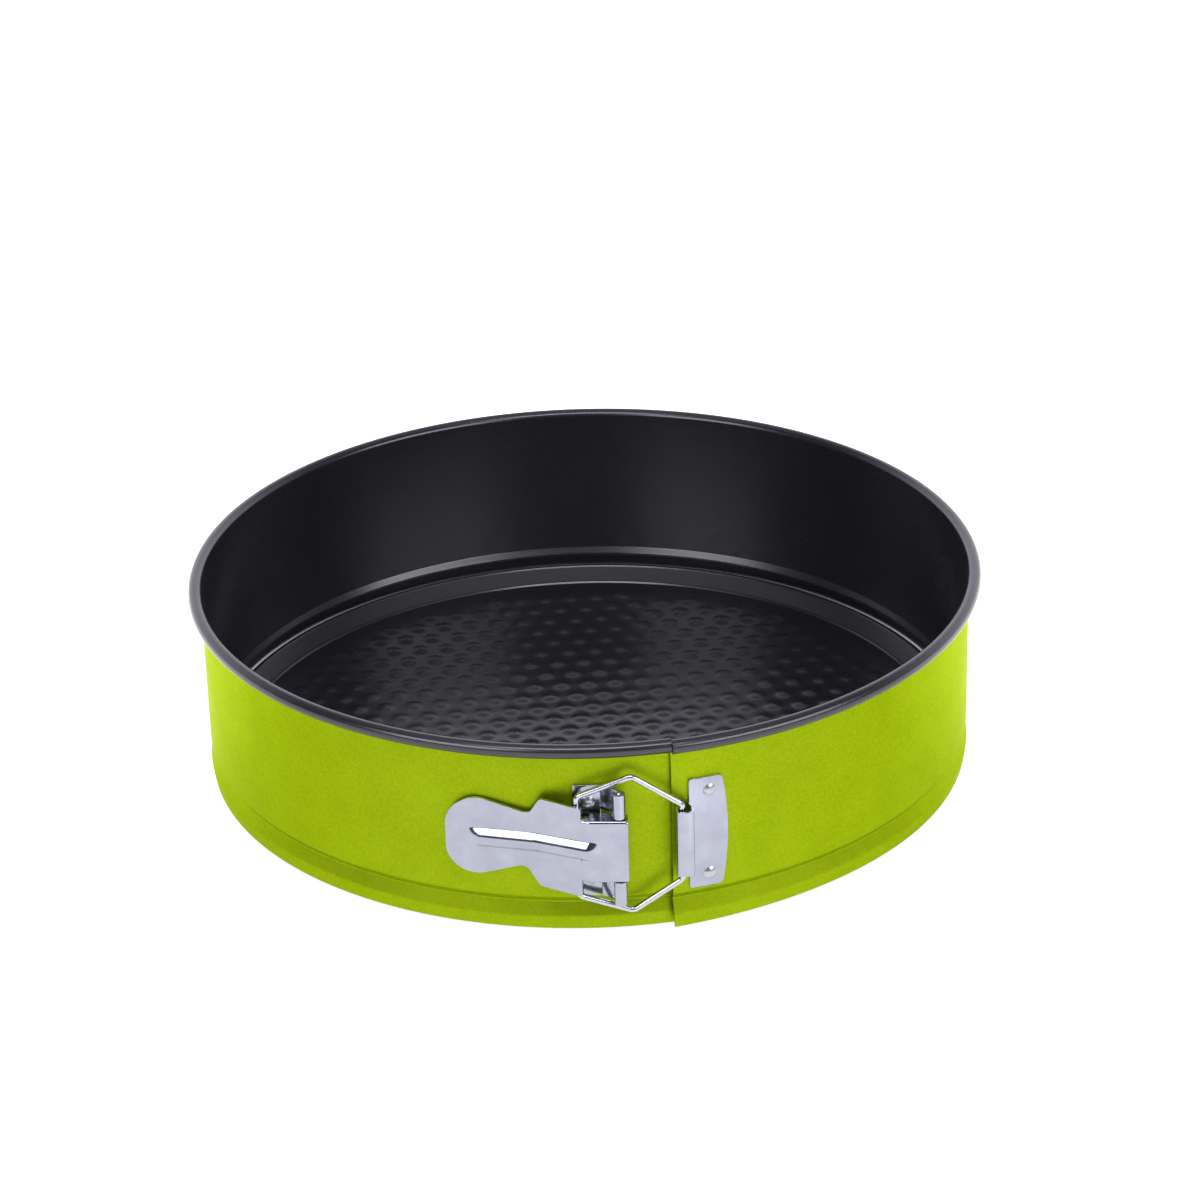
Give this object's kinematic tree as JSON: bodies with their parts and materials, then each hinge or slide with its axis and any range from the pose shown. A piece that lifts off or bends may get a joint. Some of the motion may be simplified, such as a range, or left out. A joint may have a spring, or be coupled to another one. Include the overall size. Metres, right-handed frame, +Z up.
{
  "type": "springform cake pan",
  "caption": "Round springform baking pan with a loose dimpled base, an opening side band and an over-centre wire latch.",
  "frame": {"origin": "the pan's axis at the underside of the base plate, on the table", "axes": "+Z up along the pan's axis, the latch faces -Y, +X is to the right seen from the latch"},
  "size_m": [0.268, 0.2736, 0.067],
  "materials": {
    "nonstick_steel": "semi-matt carbon-grey non-stick coating",
    "lacquered_band": "lime pearl lacquer outside, carbon-grey non-stick coating inside and on the rim",
    "plated_steel": "bright zinc-nickel plating, satin",
    "rivet_steel": "plated",
    "spring_wire": "bright plated wire"
  },
  "bodies": {
    "base": {"base_plate": "nonstick_steel"},
    "ring_left": {"band_left": "lacquered_band", "hinge_bracket": "plated_steel", "hinge_pin": "plated_steel", "bracket_rivets": "rivet_steel"},
    "ring_right": {"band_right": "lacquered_band", "catch_plate": "plated_steel", "catch_rivets": "rivet_steel"},
    "lever": {"lever": "plated_steel"},
    "bail": {"bail": "spring_wire"}
  },
  "joints": [
    {"name": "ring_lift", "type": "slide", "parent": "base", "child": "ring_left", "axis": [0, 0, 1], "range_m": [0, 0.08]},
    {"name": "lever_swing", "type": "hinge", "parent": "ring_left", "child": "lever", "pos_m": [0.0086, -0.1367, 0.0326], "axis": [0, 0, 1], "range_deg": [0, 90]},
    {"name": "band_open", "type": "hinge", "parent": "ring_left", "child": "ring_right", "pos_m": [0, 0.1346, 0.0326], "axis": [0, 0, 1], "range_deg": [0, 1.23]},
    {"name": "bail_swing", "type": "hinge", "parent": "ring_right", "child": "bail", "pos_m": [0.0283, -0.133, 0.0326], "axis": [0, 0, 1], "range_deg": [0, 29.05]}
  ],
  "couplings": [
    {"joint": "band_open", "follows": "lever_swing", "ratio": 0.013576},
    {"joint": "bail_swing", "follows": "lever_swing", "ratio": 0.32264}
  ]
}
